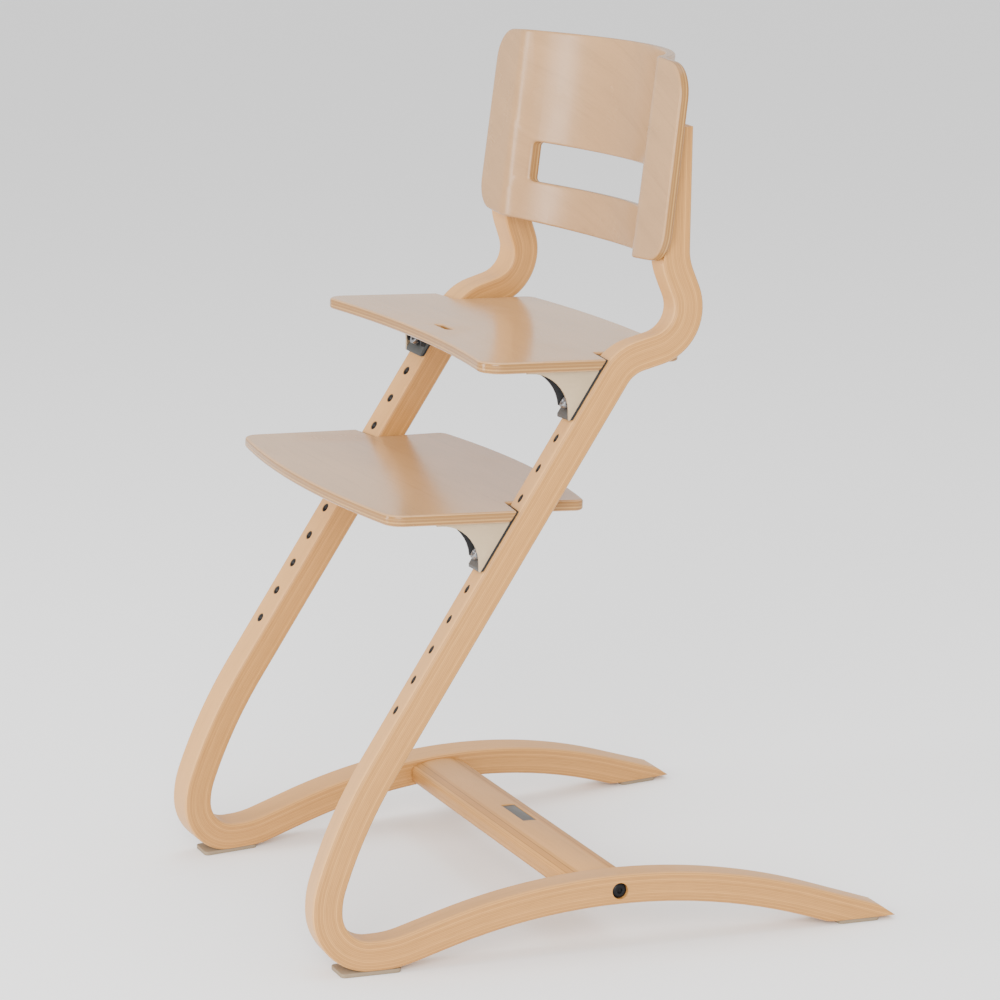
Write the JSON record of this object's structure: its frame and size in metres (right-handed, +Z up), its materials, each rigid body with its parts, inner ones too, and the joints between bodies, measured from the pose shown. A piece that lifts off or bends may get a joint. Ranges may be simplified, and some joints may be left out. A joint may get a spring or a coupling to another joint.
{
  "type": "baby high chair",
  "caption": "Bent-wood high chair with splayed side frames, a slotted backrest, and seat and foot plates on brackets that slide along the straight legs.",
  "frame": {"origin": "on the floor, in the middle of the chair's width and of its length", "axes": "+Z up, +X to the chair's left side, the chair faces -Y"},
  "size_m": [0.5296, 0.5701, 0.8216],
  "materials": {
    "beech": "clear matt lacquer",
    "ply": "clear matt lacquer",
    "aluminium": "brushed, pale champagne",
    "black_plastic": "fine texture",
    "steel": "zinc plated",
    "black_steel": "black oxide",
    "pad": "matt",
    "badge": "blank, satin"
  },
  "bodies": {
    "chair_frame": {"left_side_frame": "beech", "right_side_frame": "beech", "crossbar": "beech", "badge_plate": "badge", "crossbar_bolt_left": "black_steel", "crossbar_insert_left": "steel", "crossbar_bolt_right": "black_steel", "crossbar_insert_right": "steel", "backrest": "ply", "backrest_screw_left_lower": "black_steel", "backrest_screw_left_upper": "black_steel", "backrest_screw_right_lower": "black_steel", "backrest_screw_right_upper": "black_steel", "front_pad_left": "pad", "front_pad_right": "pad", "rear_pad_left": "pad", "rear_pad_right": "pad"},
    "seat": {"seat_plate": "ply", "seat_bracket_left": "aluminium", "seat_bracket_liner_left": "black_plastic", "seat_bracket_gasket_left": "black_plastic", "seat_bracket_bolt_left": "steel", "seat_plate_screw_left_front": "steel", "seat_plate_screw_left_rear": "steel", "seat_bracket_right": "aluminium", "seat_bracket_liner_right": "black_plastic", "seat_bracket_gasket_right": "black_plastic", "seat_bracket_bolt_right": "steel", "seat_plate_screw_right_front": "steel", "seat_plate_screw_right_rear": "steel"},
    "foot": {"foot_plate": "ply", "foot_bracket_left": "aluminium", "foot_bracket_liner_left": "black_plastic", "foot_bracket_gasket_left": "black_plastic", "foot_bracket_bolt_left": "steel", "foot_plate_screw_left_front": "steel", "foot_plate_screw_left_rear": "steel", "foot_bracket_right": "aluminium", "foot_bracket_liner_right": "black_plastic", "foot_bracket_gasket_right": "black_plastic", "foot_bracket_bolt_right": "steel", "foot_plate_screw_right_front": "steel", "foot_plate_screw_right_rear": "steel"}
  },
  "joints": [
    {"name": "seat_height", "type": "slide", "parent": "chair_frame", "child": "seat", "axis": [0, 0.5534, 0.8329], "range_m": [-0.064, 0]},
    {"name": "foot_height", "type": "slide", "parent": "chair_frame", "child": "foot", "axis": [0, 0.5534, 0.8329], "range_m": [-0.16, 0]}
  ]
}
